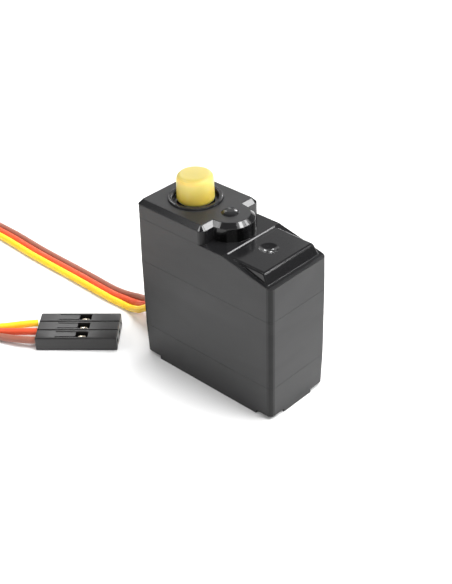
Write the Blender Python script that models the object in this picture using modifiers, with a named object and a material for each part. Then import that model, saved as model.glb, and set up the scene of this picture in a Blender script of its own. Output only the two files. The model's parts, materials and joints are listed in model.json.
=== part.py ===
"""Servo motor with a three-core lead, modelled as an assembly of separate pieces.

+X points from the output shaft towards the motor, +Z is up, and the origin lies at the
middle of the underside. Sizes are in millimetres; the helpers scale them to metres.
"""
import math

import bmesh
import bpy
from mathutils import Matrix, Vector

MM = 0.001
GAP = 0.3                     # clearance between touching pieces
CLOSE_GAP = 0.25              # running clearance of a shaft or a screw in its hole

# ------------------------------------------------------------------ case
LENGTH = 28.0
WIDTH = 13.1
HALF_L = LENGTH / 2
HALF_W = WIDTH / 2
CORNER_R = 0.9                # rounding of the upright edges
WALL = 1.05
THIN_WALL = 0.6               # walls round the gears

PAD_H = 0.63                  # the cover's corners end this high above its middle
SEAM_LOW = 6.2                # bottom cover to middle case
SEAM_HIGH = 18.6              # middle case to upper case
DECK_Z = 26.45                # level deck beside the boss
PLATEAU_Z = 29.55             # raised end round the output shaft
PLATEAU_END_X = 0.32
ROOF_START_X = 4.4
ROOF_END_Z = 24.3             # top of the side walls at the motor end
PANEL_END_X = 11.95
PANEL_HALF_W = 5.6
PANEL_Z = (26.28, 26.2)       # top of the raised panel at its start and at its end
PANEL_BEVEL = 0.32
CHAMFER = 0.77
SKIN = 1.1                    # thickness of the plateau and of the cover's floor
DECK_PLATE = 1.4              # gear deck, the top of the middle case
DRAFT = 0.1                   # how far a wall leans in over its height

OUTPUT_X = -7.1               # output shaft axis
IDLER_X = 0.2                 # idler pin axis, at the middle of the boss
MOTOR_X = 6.8                 # motor axis
BOSS_R = 3.85
COLLAR_R = (3.57, 4.38)       # inside and outside of the ring round the output shaft
COLLAR_H = 0.32
COLLAR_FLOOR = 0.45           # depth of the floor inside the ring
DIMPLE_AT = (7.88, 0.1)
DIMPLE_R = 1.47
DIMPLE_DEPTH = 0.39

SCREW_X = 12.25
SCREW_Y = 4.9
SCREW_R = 0.5
SCREW_TOP = 22.0
POST_R = 1.1
CORNER_CUT = 3.3              # side of the square cut at each corner of the cover

# ------------------------------------------------------------------ gear train
PINION_TEETH = 10
FIRST_TEETH = 44
SMALL_TEETH = 13
LARGE_TEETH = 35
LEVEL_1 = (18.6, 19.9)        # heights of the four wheels
LEVEL_2 = (20.3, 21.6)
LEVEL_3 = (22.0, 23.3)
LEVEL_4 = (23.7, 25.4)
SPREAD = IDLER_X - OUTPUT_X
FIRST_SPREAD = MOTOR_X - IDLER_X
MODULE = 2 * SPREAD / (SMALL_TEETH + LARGE_TEETH)
FIRST_MODULE = 2 * FIRST_SPREAD / (PINION_TEETH + FIRST_TEETH)

PIN_R = 0.52
POT_SHAFT_R = 0.98
JOURNAL_R = 2.25
HUB_R = 3.1
HUB_TOP = 27.3
SPLINE_R = 2.2
SPLINE_TEETH = 20
SPLINE_Z = (29.4, 32.45)
BUSHING_R = 2.75
CAP_Z = (29.4, 33.85)
CAP_R = (2.98, 2.93)          # at its foot and at its top
CAP_ROUND = 0.9               # radius of its top edge

MOTOR_R = 5.2
MOTOR_Z = (6.5, 16.6)
MOTOR_SHAFT_R = 0.4
BOARD_Z = (3.2, 3.9)
POT_Z = (12.6, 16.6)

# ------------------------------------------------------------------ lead
WIRE_R = 0.62
WIRE_PITCH = 1.27
PLUG_PITCH = 2.54
PLUG_LENGTH = 14.0
PLUG_WIDTH = 7.62
PLUG_HEIGHT = 2.54
PLUG_YAW = math.radians(41.0)
PLUG_CENTRE = (-25.7, -11.4)
GROMMET_FACE_X = -15.75
LEAD_Z = 4.9
FAN_LENGTH = 9.0              # over which the wires spread to the plug's pitch
LEAN_LENGTH = 17.0            # over which the ribbon leans as it drops to the surface
LEAN = math.radians(34)

# middle of the lead, from the grommet round to the plug
LEAD_ROUTE = [
    (-16.05, 0.0, 4.9),
    (-17.6, 0.0, 4.75),
    (-19.5, 0.0, 4.0),
    (-21.7, 0.15, 2.75),
    (-24.1, 0.8, 1.65),
    (-27.0, 1.05, 0.95),
    (-31.2, 0.9, 0.7),
    (-40.0, 1.05, 0.66),
    (-52.0, 1.1, 0.66),
    (-63.0, 1.5, 0.66),
    (-73.2, 0.7, 0.66),
    (-82.2, -3.6, 0.66),
    (-88.2, -11.4, 0.66),
    (-89.4, -20.8, 0.66),
    (-85.4, -29.4, 0.66),
    (-77.8, -34.8, 0.66),
    (-68.6, -36.2, 0.66),
    (-59.6, -34.0, 0.66),
    (-51.6, -29.9, 0.66),
    (-44.4, -25.3, 0.66),
    (-38.2, -21.2, 0.75),
]


# ------------------------------------------------------------------ scene and materials
def clear_scene():
    for obj in list(bpy.data.objects):
        bpy.data.objects.remove(obj, do_unlink=True)


def new_collection(name):
    group = bpy.data.collections.new(name)
    bpy.context.scene.collection.children.link(group)
    return group


def material(name, colour, roughness, metallic=0.0):
    mat = bpy.data.materials.new(name)
    mat.use_nodes = True
    mat.diffuse_color = (*colour, 1.0)
    shader = mat.node_tree.nodes["Principled BSDF"]
    shader.inputs["Base Color"].default_value = (*colour, 1.0)
    shader.inputs["Roughness"].default_value = roughness
    shader.inputs["Metallic"].default_value = metallic
    return mat


clear_scene()
PARTS = new_collection("servo_motor")
CUTTERS = new_collection("cutters")

CASE_BLACK = ("case_black", (0.028, 0.028, 0.03), 0.38)
CAP_YELLOW = ("cap_yellow", (0.86, 0.66, 0.2), 0.35)
GEAR_NYLON = ("gear_nylon", (0.85, 0.83, 0.76), 0.45)
STEEL = ("steel", (0.6, 0.6, 0.62), 0.28, 1.0)
DARK_STEEL = ("dark_steel", (0.12, 0.12, 0.13), 0.35, 1.0)
BRASS = ("brass", (0.78, 0.58, 0.28), 0.3, 1.0)
COPPER = ("copper", (0.72, 0.32, 0.16), 0.4, 1.0)
MAGNET = ("magnet", (0.09, 0.09, 0.1), 0.6)
WHITE_PLASTIC = ("white_plastic", (0.82, 0.82, 0.8), 0.45)
PHENOLIC = ("phenolic", (0.36, 0.19, 0.08), 0.55)
BOARD_GREEN = ("board_green", (0.03, 0.2, 0.07), 0.4)
CHIP_BLACK = ("chip_black", (0.02, 0.02, 0.02), 0.5)
RUBBER = ("rubber", (0.03, 0.03, 0.03), 0.7)
WIRE_BROWN = ("wire_brown", (0.2, 0.07, 0.035), 0.45)
WIRE_RED = ("wire_red", (0.75, 0.09, 0.03), 0.45)
WIRE_YELLOW = ("wire_yellow", (0.95, 0.6, 0.03), 0.45)
PLUG_BLACK = ("plug_black", (0.02, 0.02, 0.022), 0.4)


# ------------------------------------------------------------------ modelling helpers
def finish_mesh(bm, name):
    """Scale a bmesh drawn in millimetres to metres and turn it into a mesh."""
    bmesh.ops.recalc_face_normals(bm, faces=bm.faces)
    bm.transform(Matrix.Scale(MM, 4))
    mesh = bpy.data.meshes.new(name)
    bm.to_mesh(mesh)
    bm.free()
    return mesh


def place(name, mesh, look=None, at=(0, 0, 0)):
    """Make an object: a part where it is given a look, a cutter where it isn't."""
    obj = bpy.data.objects.new(name, mesh)
    obj.location = Vector(at) * MM
    if look:
        PARTS.objects.link(obj)
        mesh.materials.append(bpy.data.materials.get(look[0]) or material(*look))
    else:
        CUTTERS.objects.link(obj)
        obj.hide_render = True
        obj.display_type = "WIRE"
    return obj


def smooth(obj, angle=35):
    obj.data.shade_smooth()
    obj.data.set_sharp_from_angle(angle=math.radians(angle))
    return obj


def boolean(obj, other, operation):
    mod = obj.modifiers.new(f"{operation.lower()}_{other.name}", "BOOLEAN")
    mod.operation = operation
    mod.solver = "EXACT"
    mod.object = other
    return obj


def cut(obj, *others):
    for other in others:
        boolean(obj, other, "DIFFERENCE")
    return obj


def join(obj, *others):
    for other in others:
        boolean(obj, other, "UNION")
    return obj


def block(name, xs, ys, zs, look=None, corner=0.0, draft=(0.0, 0.0), segments=4):
    """A box from its ranges, with rounded upright edges and walls that lean in.

    draft is how far the walls lean in at the bottom and at the top.
    """
    bm = bmesh.new()
    bmesh.ops.create_cube(bm, size=1.0)
    for v in bm.verts:
        lean = draft[1] if v.co.z > 0 else draft[0]
        x = xs[1] - lean if v.co.x > 0 else xs[0] + lean
        y = ys[1] - lean if v.co.y > 0 else ys[0] + lean
        v.co = (x, y, zs[1] if v.co.z > 0 else zs[0])
    if corner:
        upright = [e for e in bm.edges if abs(e.verts[0].co.z - e.verts[1].co.z) > 1e-6]
        bmesh.ops.bevel(bm, geom=upright, offset=corner, segments=segments, profile=0.5,
                        affect="EDGES")
    return place(name, finish_mesh(bm, name), look)


def cylinder(name, radius, zs, at=(0, 0), look=None, sides=32, top_radius=None):
    bm = bmesh.new()
    top = radius if top_radius is None else top_radius
    height = zs[1] - zs[0]
    bmesh.ops.create_cone(bm, cap_ends=True, segments=sides, radius1=radius, radius2=top,
                          depth=height)
    return place(name, finish_mesh(bm, name), look, (at[0], at[1], zs[0] + height / 2))


def turned(name, profile, at=(0, 0), look=None, sides=32, closed=False):
    """A solid of revolution about an upright axis, from (radius, height) points.

    An open profile runs from the axis at the top, down the outside, back to the axis.
    A closed one goes round a ring's section, down its outside first.
    """
    bm = bmesh.new()
    verts = [bm.verts.new((r, 0, z)) for r, z in profile]
    pairs = list(zip(verts, verts[1:]))
    if closed:
        pairs.append((verts[-1], verts[0]))
    for pair in pairs:
        bm.edges.new(pair)
    bm.transform(Matrix.Scale(MM, 4))
    mesh = bpy.data.meshes.new(name)
    bm.to_mesh(mesh)
    bm.free()
    obj = place(name, mesh, look, (at[0], at[1], 0))
    screw = obj.modifiers.new("turn", "SCREW")
    screw.steps = sides
    screw.render_steps = sides
    screw.use_merge_vertices = True
    screw.merge_threshold = 0.00001
    screw.use_smooth_shade = True
    return obj


def extruded(name, outline, zs, look=None, at=(0, 0)):
    """A flat outline with thickness: a filled 2D curve turned into a closed mesh."""
    curve = bpy.data.curves.new(name, "CURVE")
    curve.dimensions = "2D"
    curve.fill_mode = "BOTH"
    curve.extrude = (zs[1] - zs[0]) / 2 * MM
    spline = curve.splines.new("POLY")
    spline.points.add(len(outline) - 1)
    for point, (x, y) in zip(spline.points, outline):
        point.co = (x * MM, y * MM, 0, 1)
    spline.use_cyclic_u = True
    flat = bpy.data.objects.new(name, curve)
    bpy.context.scene.collection.objects.link(flat)
    bpy.context.view_layer.update()
    mesh = bpy.data.meshes.new_from_object(flat.evaluated_get(bpy.context.evaluated_depsgraph_get()))
    bpy.data.objects.remove(flat, do_unlink=True)
    bpy.data.curves.remove(curve)
    bm = bmesh.new()
    bm.from_mesh(mesh)
    bmesh.ops.remove_doubles(bm, verts=bm.verts, dist=1e-7)
    bmesh.ops.dissolve_limit(bm, angle_limit=0.01, verts=bm.verts, edges=bm.edges)
    bmesh.ops.recalc_face_normals(bm, faces=bm.faces)
    bm.to_mesh(mesh)
    bm.free()
    mesh.name = name
    mesh.materials.clear()
    return place(name, mesh, look, (at[0], at[1], (zs[0] + zs[1]) / 2))


def tube(name, points, radius, look):
    """A wire: a curve with a round section and closed ends."""
    curve = bpy.data.curves.new(name, "CURVE")
    curve.dimensions = "3D"
    curve.bevel_depth = radius * MM
    curve.bevel_resolution = 2
    curve.use_fill_caps = True
    spline = curve.splines.new("POLY")
    spline.points.add(len(points) - 1)
    for point, xyz in zip(spline.points, points):
        point.co = (*(c * MM for c in xyz), 1)
    obj = bpy.data.objects.new(name, curve)
    PARTS.objects.link(obj)
    curve.materials.append(bpy.data.materials.get(look[0]) or material(*look))
    return obj


def arc(centre, radius, start, end, steps):
    """Points along an arc, from one angle to another in degrees, both ends included."""
    points = []
    for i in range(steps + 1):
        angle = math.radians(start + (end - start) * i / steps)
        points.append((centre[0] + radius * math.cos(angle), centre[1] + radius * math.sin(angle)))
    return points


# ------------------------------------------------------------------ gears
def tooth_half_angle(radius, pitch_r, teeth):
    """Half the angle that an involute tooth spans at a radius."""
    pressure = math.radians(20)
    base = pitch_r * math.cos(pressure)
    at_pitch = 0.41 * math.pi / teeth
    along = math.acos(min(1.0, base / radius))
    return at_pitch + (math.tan(pressure) - pressure) - (math.tan(along) - along)


def gear_outline(teeth, module, phase, addendum=0.8, dedendum=1.1):
    """Outline of a spur gear whose first tooth points along phase, in radians."""
    pitch_r = teeth * module / 2
    root = pitch_r - dedendum * module
    tip = pitch_r + addendum * module
    points = []
    for tooth in range(teeth):
        middle = phase + 2 * math.pi * tooth / teeth
        flank = [(root, tooth_half_angle(root, pitch_r, teeth)),
                 (tip, tooth_half_angle(tip, pitch_r, teeth))]
        for radius, half in flank:
            points.append((radius * math.cos(middle - half), radius * math.sin(middle - half)))
        for radius, half in reversed(flank):
            points.append((radius * math.cos(middle + half), radius * math.sin(middle + half)))
    return points


def compound_gear(name, axis_x, wheel, small, bore_r, look):
    """A wheel and a smaller gear on it, in one piece with a bore through both.

    wheel and small are (outline, z range); the small gear reaches into the wheel.
    """
    gear = extruded(name, wheel[0], wheel[1], look, (axis_x, 0))
    pinion = extruded(f"{name}_small", small[0], small[1], None, (axis_x, 0))
    low = wheel[1][0]
    bore = cylinder(f"{name}_bore", bore_r, (low - 3, small[1][1] + 2), (axis_x, 0), sides=20)
    recess = turned(f"{name}_recess", [(4.3, low + 0.25), (4.3, low - 0.5), (2.4, low - 0.5),
                                       (2.4, low + 0.25)], (axis_x, 0), sides=28, closed=True)
    join(gear, pinion)
    cut(gear, bore, recess)
    return smooth(gear)


def build_gears():
    low = FIRST_MODULE
    pinion = extruded("motor_pinion", gear_outline(PINION_TEETH, low, math.pi), (18.6, 20.2), BRASS,
                      (MOTOR_X, 0))
    bore = cylinder("motor_pinion_bore", MOTOR_SHAFT_R + CLOSE_GAP, (15, 19.9), (MOTOR_X, 0), sides=16)
    cut(pinion, bore)
    smooth(pinion)
    compound_gear(
        "idler_gear_lower", IDLER_X,
        (gear_outline(FIRST_TEETH, low, math.pi / FIRST_TEETH), LEVEL_1),
        (gear_outline(SMALL_TEETH, MODULE, math.pi), (LEVEL_1[1] - 0.4, LEVEL_2[1] + 0.1)),
        PIN_R + GAP, GEAR_NYLON)
    compound_gear(
        "shaft_gear", OUTPUT_X,
        (gear_outline(LARGE_TEETH, MODULE, math.pi / LARGE_TEETH), LEVEL_2),
        (gear_outline(SMALL_TEETH, MODULE, 0), (LEVEL_2[1] - 0.4, LEVEL_3[1] + 0.1)),
        POT_SHAFT_R + GAP, GEAR_NYLON)
    compound_gear(
        "idler_gear_upper", IDLER_X,
        (gear_outline(LARGE_TEETH, MODULE, math.pi + math.pi / LARGE_TEETH), LEVEL_3),
        (gear_outline(SMALL_TEETH, MODULE, math.pi), (LEVEL_3[1] - 0.4, LEVEL_4[1] + 0.4)),
        PIN_R + GAP, GEAR_NYLON)


def spline_outline():
    """Outline of the fine serrations on the output shaft."""
    points = []
    for i in range(SPLINE_TEETH):
        for offset, radius in ((0.0, SPLINE_R), (0.5, SPLINE_R - 0.22)):
            angle = 2 * math.pi * (i + offset) / SPLINE_TEETH
            points.append((radius * math.cos(angle), radius * math.sin(angle)))
    return points


def build_output():
    """Wheel, hub, journal and splined end in one piece, on the potentiometer's shaft."""
    at = (OUTPUT_X, 0)
    outline = gear_outline(LARGE_TEETH, MODULE, math.pi / LARGE_TEETH)
    gear = extruded("output_gear", outline, LEVEL_4, GEAR_NYLON, at)
    journal_top = SPLINE_Z[0] - 0.1
    hub = turned("output_hub", [(0, journal_top), (JOURNAL_R - 0.2, journal_top),
                                (JOURNAL_R, journal_top - 0.2), (JOURNAL_R, HUB_TOP), (HUB_R, HUB_TOP),
                                (HUB_R, LEVEL_4[0] + 0.7), (0, LEVEL_4[0] + 0.7)], at)
    teeth = extruded("output_spline", spline_outline(), (SPLINE_Z[0] - 0.8, SPLINE_Z[1]), None, at)
    join(gear, hub, teeth)
    cut(gear,
        cylinder("output_pot_bore", POT_SHAFT_R + GAP, (20, 26.3), at, sides=20),
        cylinder("output_screw_bore", 0.8, (28.0, 40), at, sides=16))
    smooth(gear)


def build_cap():
    """The smooth closed cap pushed over the splined end."""
    low, high = CAP_Z
    foot, top = CAP_R
    bore = SPLINE_R + CLOSE_GAP
    round_edge = [(top - CAP_ROUND * (1 - math.sin(turn)), high - 0.04 - CAP_ROUND * (1 - math.cos(turn)))
                  for turn in (math.radians(step * 18) for step in range(6))]
    turned("shaft_cap", [(0, high), (1.1, high - 0.01)] + round_edge + [(foot, low + 0.3),
                         (foot - 0.08, low + 0.08), (foot - 0.25, low), (bore, low),
                         (bore, SPLINE_Z[1] + 0.2), (bore - 0.3, SPLINE_Z[1] + 0.45),
                         (0, SPLINE_Z[1] + 0.45)], (OUTPUT_X, 0), CAP_YELLOW, sides=40)


def build_bushing():
    """The flanged bushing that carries the output gear's journal."""
    top = CAP_Z[0] - GAP
    flange_top = PLATEAU_Z - SKIN - GAP
    bore = JOURNAL_R + CLOSE_GAP
    turned("output_bushing", [(BUSHING_R, top), (BUSHING_R, flange_top), (3.9, flange_top),
                              (3.9, HUB_TOP + GAP), (bore, HUB_TOP + GAP), (bore, top)],
           (OUTPUT_X, 0), CASE_BLACK, sides=32, closed=True)


# ------------------------------------------------------------------ case
def corners():
    return [(sx * SCREW_X, sy * SCREW_Y) for sx in (-1, 1) for sy in (-1, 1)]


def cavity(name, xs, ys, zs, round_corner=0.56):
    """The hollow of a shell: a box that leaves the four screw posts standing."""
    hollow = block(name, xs, ys, zs, corner=round_corner, segments=2)
    for i, at in enumerate(corners()):
        if xs[0] - POST_R < at[0] < xs[1] + POST_R:
            cut(hollow, cylinder(f"{name}_post_{i}", POST_R, (zs[0] - 1, zs[1] + 1), at, sides=20))
    return hollow


def screw_holes(name, zs, radius=SCREW_R + CLOSE_GAP):
    return [cylinder(f"{name}_screw_hole_{i}", radius, zs, at, sides=14) for i, at in enumerate(corners())]


def roof_height(x):
    return DECK_Z - (x - ROOF_START_X) * (DECK_Z - ROOF_END_Z) / (HALF_L - ROOF_START_X)


def crown_outline(inset):
    """Plan of the plateau: rounded corners, and the boss standing out of its end wall."""
    left = -HALF_L + inset
    side = HALF_W - inset
    end = PLATEAU_END_X
    r = CORNER_R
    meet = math.degrees(math.acos((end - IDLER_X) / BOSS_R))
    points = arc((left + r, -side + r), r, 180, 270, 4)
    points += arc((end - r, -side + r), r, 270, 360, 4)
    points += arc((IDLER_X, 0), BOSS_R, -meet, meet, 22)
    points += arc((end - r, side - r), r, 0, 90, 4)
    points += arc((left + r, side - r), r, 90, 180, 4)
    return points


def crown(name, inset, zs):
    """The plateau with its chamfered upper edge."""
    bm = bmesh.new()
    ring = [bm.verts.new((x, y, zs[0])) for x, y in crown_outline(inset)]
    base = bm.faces.new(ring)
    raised = bmesh.ops.extrude_face_region(bm, geom=[base])
    top = [v for v in raised["geom"] if isinstance(v, bmesh.types.BMVert)]
    bmesh.ops.translate(bm, verts=top, vec=(0, 0, zs[1] - zs[0]))
    rim = [e for e in bm.edges if all(v.co.z > zs[1] - 0.01 for v in e.verts)]
    bmesh.ops.bevel(bm, geom=rim, offset=CHAMFER, offset_type="OFFSET", segments=1, affect="EDGES",
                    clamp_overlap=False)
    return place(name, finish_mesh(bm, name))


def raised_panel():
    """The panel over the motor: it stays level while the roof falls away round it."""
    start, end = ROOF_START_X + 0.03, PANEL_END_X
    foot = PANEL_Z[1] - 3.15
    bm = bmesh.new()
    bmesh.ops.create_cube(bm, size=1.0)
    for v in bm.verts:
        side = 1 if v.co.y > 0 else -1
        far = v.co.x > 0
        if v.co.z > 0:
            v.co = (end if far else start, side * PANEL_HALF_W, PANEL_Z[1] if far else PANEL_Z[0])
        else:
            v.co = (end + 1.83 if far else start, side * (PANEL_HALF_W + 0.63), foot)
    rim = [e for e in bm.edges if all(v.co.z > foot + 1 for v in e.verts)]
    slanted = [e for e in bm.edges if all(v.co.x > end - 0.1 for v in e.verts)
               and abs(e.verts[0].co.z - e.verts[1].co.z) > 1]
    bmesh.ops.bevel(bm, geom=rim + slanted, offset=PANEL_BEVEL, segments=2, profile=0.5, affect="EDGES")
    return place("raised_panel", finish_mesh(bm, "raised_panel"))


def upper_case():
    low = SEAM_HIGH
    case = block("upper_case", (-HALF_L, HALF_L), (-HALF_W, HALF_W), (low, DECK_Z), CASE_BLACK,
                 corner=CORNER_R, draft=(0, DRAFT))
    tilt = math.atan2(DECK_Z - ROOF_END_Z, HALF_L - ROOF_START_X)
    wedge = block("roof_cut", (0, 20), (-15, 15), (0, 10))
    wedge.location = Vector((ROOF_START_X, 0, DECK_Z)) * MM
    wedge.rotation_euler = (0, tilt, 0)
    cut(case, wedge)
    join(case, raised_panel(), crown("plateau", DRAFT + 0.01, (DECK_Z - 0.84, PLATEAU_Z)))

    rim = PLATEAU_Z + COLLAR_H
    inner, outer = COLLAR_R
    root = PLATEAU_Z - 0.6
    floor = cylinder("collar_floor", (inner + outer) / 2, (PLATEAU_Z - COLLAR_FLOOR, 35.0), (OUTPUT_X, 0))
    collar = turned("collar", [(inner + 0.18, rim), (outer - 0.24, rim), (outer - 0.07, rim - 0.08),
                               (outer, rim - 0.24), (outer, root), (inner, root), (inner, rim - 0.18)],
                    (OUTPUT_X, 0), sides=48, closed=True)
    nub = turned("pin_nub", [(0, PLATEAU_Z + 0.42), (0.62, PLATEAU_Z + 0.38), (1.08, PLATEAU_Z + 0.26),
                             (1.42, PLATEAU_Z), (1.42, root), (0, root)], (IDLER_X, 0), sides=28)
    flat = PANEL_HALF_W - PANEL_BEVEL
    drop = DECK_Z - PANEL_Z[0]
    step = block("panel_step", (ROOF_START_X + drop, ROOF_START_X + 1.2), (-flat, flat),
                 (PANEL_Z[0], DECK_Z + 0.05), draft=(0, -drop - 0.05))
    cut(case, floor, step)
    join(case, collar, nub)

    side = HALF_W - THIN_WALL
    back = -HALF_L + THIN_WALL
    ceiling = PLATEAU_Z - SKIN
    cut(case,
        cavity("gear_room", (back, 6.1), (-side, side), (low - 1, 25.2)),
        cavity("motor_room", (5.6, HALF_L - 0.9), (0.2 - side, side - 0.2), (low - 1, 23.3)),
        block("plateau_room", (back + 0.14, PLATEAU_END_X - 0.9), (0.07 - side, side - 0.07),
              (24.5, ceiling), corner=1.5),
        cylinder("boss_room", BOSS_R - 1.0, (24.5, ceiling), (IDLER_X, 0)),
        cylinder("pin_socket", PIN_R + CLOSE_GAP, (27.3, PLATEAU_Z - 0.42), (IDLER_X, 0), sides=16),
        cylinder("output_opening", BUSHING_R + CLOSE_GAP, (27.3, 35.0), (OUTPUT_X, 0), sides=40))
    cut(case, *screw_holes("upper", (low - 2, SCREW_TOP + 0.3)))

    sphere_r = (DIMPLE_R ** 2 + DIMPLE_DEPTH ** 2) / (2 * DIMPLE_DEPTH)
    share = (DIMPLE_AT[0] - ROOF_START_X) / (PANEL_END_X - ROOF_START_X)
    surface = PANEL_Z[0] + (PANEL_Z[1] - PANEL_Z[0]) * share
    bm = bmesh.new()
    bmesh.ops.create_uvsphere(bm, u_segments=32, v_segments=24, radius=sphere_r)
    dimple = place("dimple", finish_mesh(bm, "dimple"), None, (*DIMPLE_AT, surface + sphere_r - DIMPLE_DEPTH))
    cut(case, dimple)
    return smooth(case, 30)


def middle_case():
    top = SEAM_HIGH - GAP
    case = block("middle_case", (-HALF_L, HALF_L), (-HALF_W, HALF_W), (SEAM_LOW, top), CASE_BLACK,
                 corner=CORNER_R)
    side = HALF_W - WALL
    cut(case,
        cavity("motor_pocket", (-HALF_L + WALL, HALF_L - WALL), (-side, side),
               (SEAM_LOW - 1, top - DECK_PLATE)),
        cylinder("motor_boss_hole", 2.2, (15, 30), (MOTOR_X, 0), sides=24),
        cylinder("pot_neck_hole", 2.1, (15, 30), (OUTPUT_X, 0), sides=24),
        cylinder("deck_pin_socket", PIN_R + CLOSE_GAP, (17.2, 30), (IDLER_X, 0), sides=16),
        *screw_holes("middle", (0, 40)))
    return smooth(case, 30)


def bottom_cover():
    top = SEAM_LOW - GAP
    cover = block("bottom_cover", (-HALF_L, HALF_L), (-HALF_W, HALF_W), (0, top), CASE_BLACK,
                  corner=CORNER_R, draft=(DRAFT + 0.05, 0))
    side = HALF_W - WALL
    for sx in (-1, 1):
        for sy in (-1, 1):
            x0, x1 = sorted((sx * (HALF_L - CORNER_CUT), sx * (HALF_L + 3)))
            y0, y1 = sorted((sy * (HALF_W - CORNER_CUT), sy * (HALF_W + 3)))
            cut(cover, block(f"corner_cut_{sx}_{sy}", (x0, x1), (y0, y1), (-3, PAD_H), corner=0.42))
    cut(cover,
        cavity("board_room", (-HALF_L + WALL, HALF_L - WALL), (-side, side), (SKIN + 0.42, top + 1)),
        block("lead_slot", (-HALF_L - 3, -HALF_L + 3), (-2.4, 2.4), (LEAD_Z - 1.1, top + 2)),
        *screw_holes("cover", (-1, 12)),
        *screw_holes("cover_head", (-1, 1.7), 1.4))
    return smooth(cover, 30)


def case_screws():
    """Long self-tapping screws with cross-recessed pan heads, heads down in the cover."""
    seat = 1.5
    head = 0.7
    for i, (x, y) in enumerate(corners()):
        name = f"case_screw_{i + 1}"
        screw = turned(name, [(0, SCREW_TOP), (0.17, SCREW_TOP - 0.14), (SCREW_R, SCREW_TOP - 1.2),
                              (SCREW_R, seat), (1.12, seat), (1.12, seat - 0.42), (0.8, head), (0, head)],
                       (x, y), STEEL, sides=18)
        for k, (wide, deep) in enumerate(((1.2, 0.28), (0.28, 1.2))):
            slot = block(f"{name}_slot_{k}", (x - wide / 2, x + wide / 2), (y - deep / 2, y + deep / 2),
                         (head - 1, head + 0.35))
            cut(screw, slot)


# ------------------------------------------------------------------ motor, sensor, board
def build_motor():
    at = (MOTOR_X, 0)
    low, high = MOTOR_Z
    can = MOTOR_R - 0.35
    turned("motor_can", [(0.8, high + 1.3), (1.75, high + 1.3), (1.9, high + 1.15), (1.9, high),
                         (MOTOR_R - 0.3, high), (MOTOR_R, high - 0.3), (MOTOR_R, low), (can, low),
                         (can, high - 0.4), (0.8, high - 0.4)], at, STEEL, 32, closed=True)
    plug = can - CLOSE_GAP
    rim = low - GAP
    turned("motor_end_cap", [(0, low + 1.0), (plug, low + 1.0), (plug, rim), (MOTOR_R, rim),
                             (MOTOR_R, rim - 0.6), (1.5, rim - 0.6), (1.4, rim - 1.0), (0, rim - 1.0)],
           at, WHITE_PLASTIC, 28)
    shaft_low = low + 1.0 + GAP
    turned("motor_shaft", [(0, 19.6), (MOTOR_SHAFT_R, 19.6), (MOTOR_SHAFT_R, shaft_low), (0, shaft_low)],
           at, STEEL, 16)
    for i, side in enumerate((-1, 1)):
        middle = 90 * side
        outline = arc((0, 0), plug, middle - 60, middle + 60, 10)
        outline += arc((0, 0), plug * 0.78, middle + 60, middle - 60, 10)
        smooth(extruded(f"motor_magnet_{i + 1}", outline, (low + 1.6, high - 1.0), MAGNET, at))
        block(f"motor_terminal_{i + 1}", (MOTOR_X - 0.6, MOTOR_X + 0.6),
              (side * 3.1 - 0.15, side * 3.1 + 0.15), (BOARD_Z[1] + GAP, rim - 0.6 - GAP), BRASS)


def build_armature():
    """Three wound poles on the motor's shaft."""
    outline = []
    for pole in range(3):
        middle = 120 * pole
        outline += arc((0, 0), 3.2, middle - 48, middle + 48, 8)
        outline += arc((0, 0), 2.5, middle + 46, middle + 20, 3)
        outline += arc((0, 0), 1.3, middle + 45, middle + 75, 1)
        outline += arc((0, 0), 2.5, middle + 100, middle + 74, 3)
    low, high = MOTOR_Z
    armature = extruded("motor_armature", outline, (low + 2.2, high - 2.1), COPPER, (MOTOR_X, 0))
    bore = cylinder("armature_bore", MOTOR_SHAFT_R + CLOSE_GAP, (5, 30), (MOTOR_X, 0), sides=16)
    cut(armature, bore)
    smooth(armature)


def build_potentiometer():
    at = (OUTPUT_X, 0)
    low, high = POT_Z
    bore = POT_SHAFT_R + GAP
    turned("pot_body", [(bore, high + 1.4), (1.65, high + 1.4), (1.8, high + 1.25), (1.8, high),
                        (3.65, high), (3.85, high - 0.2), (3.85, low + 0.3), (3.45, low + 0.3),
                        (3.45, high - 0.55), (bore, high - 0.55)], at, STEEL, 32, closed=True)
    turned("pot_shaft", [(0, 26.0), (POT_SHAFT_R, 26.0), (POT_SHAFT_R, high - 0.95), (3.0, high - 0.95),
                         (3.0, high - 1.5), (POT_SHAFT_R, high - 1.5), (POT_SHAFT_R, low + 1.15),
                         (0, low + 1.15)], at, BRASS, 24)
    turned("pot_wafer", [(0, low + 0.85), (3.2, low + 0.85), (3.2, low), (0, low)], at, PHENOLIC, 28)
    for i, y in enumerate((-1.4, 0.0, 1.4)):
        points = [(OUTPUT_X - 1.0, y, low - GAP), (OUTPUT_X - 1.5, y * 1.1, low - 1.8),
                  (OUTPUT_X - 2.1, y * 1.3, 9.0), (OUTPUT_X - 2.2, y * 1.4, 6.6),
                  (OUTPUT_X - 2.1, y * 1.4, BOARD_Z[1] + GAP)]
        tube(f"pot_wire_{i + 1}", smooth_path(points, 8), 0.3, WIRE_RED if i == 1 else WIRE_YELLOW)


def build_board():
    low, high = BOARD_Z
    block("circuit_board", (-10.9, 10.9), (-5.0, 5.0), (low, high), BOARD_GREEN)
    block("driver_chip", (-3.9, 1.1), (-4.5, -1.0), (high + GAP, high + 1.2), CHIP_BLACK)
    for i, x in enumerate((2.2, 4.8)):
        block(f"bridge_chip_{i + 1}", (x, x + 1.8), (-1.7, 1.7), (low - 1.1, low - GAP), CHIP_BLACK)
    turned("capacitor", [(0, 8.7), (1.5, 8.7), (1.6, 8.6), (1.6, high + GAP), (0, high + GAP)],
           (-2.4, 2.5), STEEL, 24)


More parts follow.
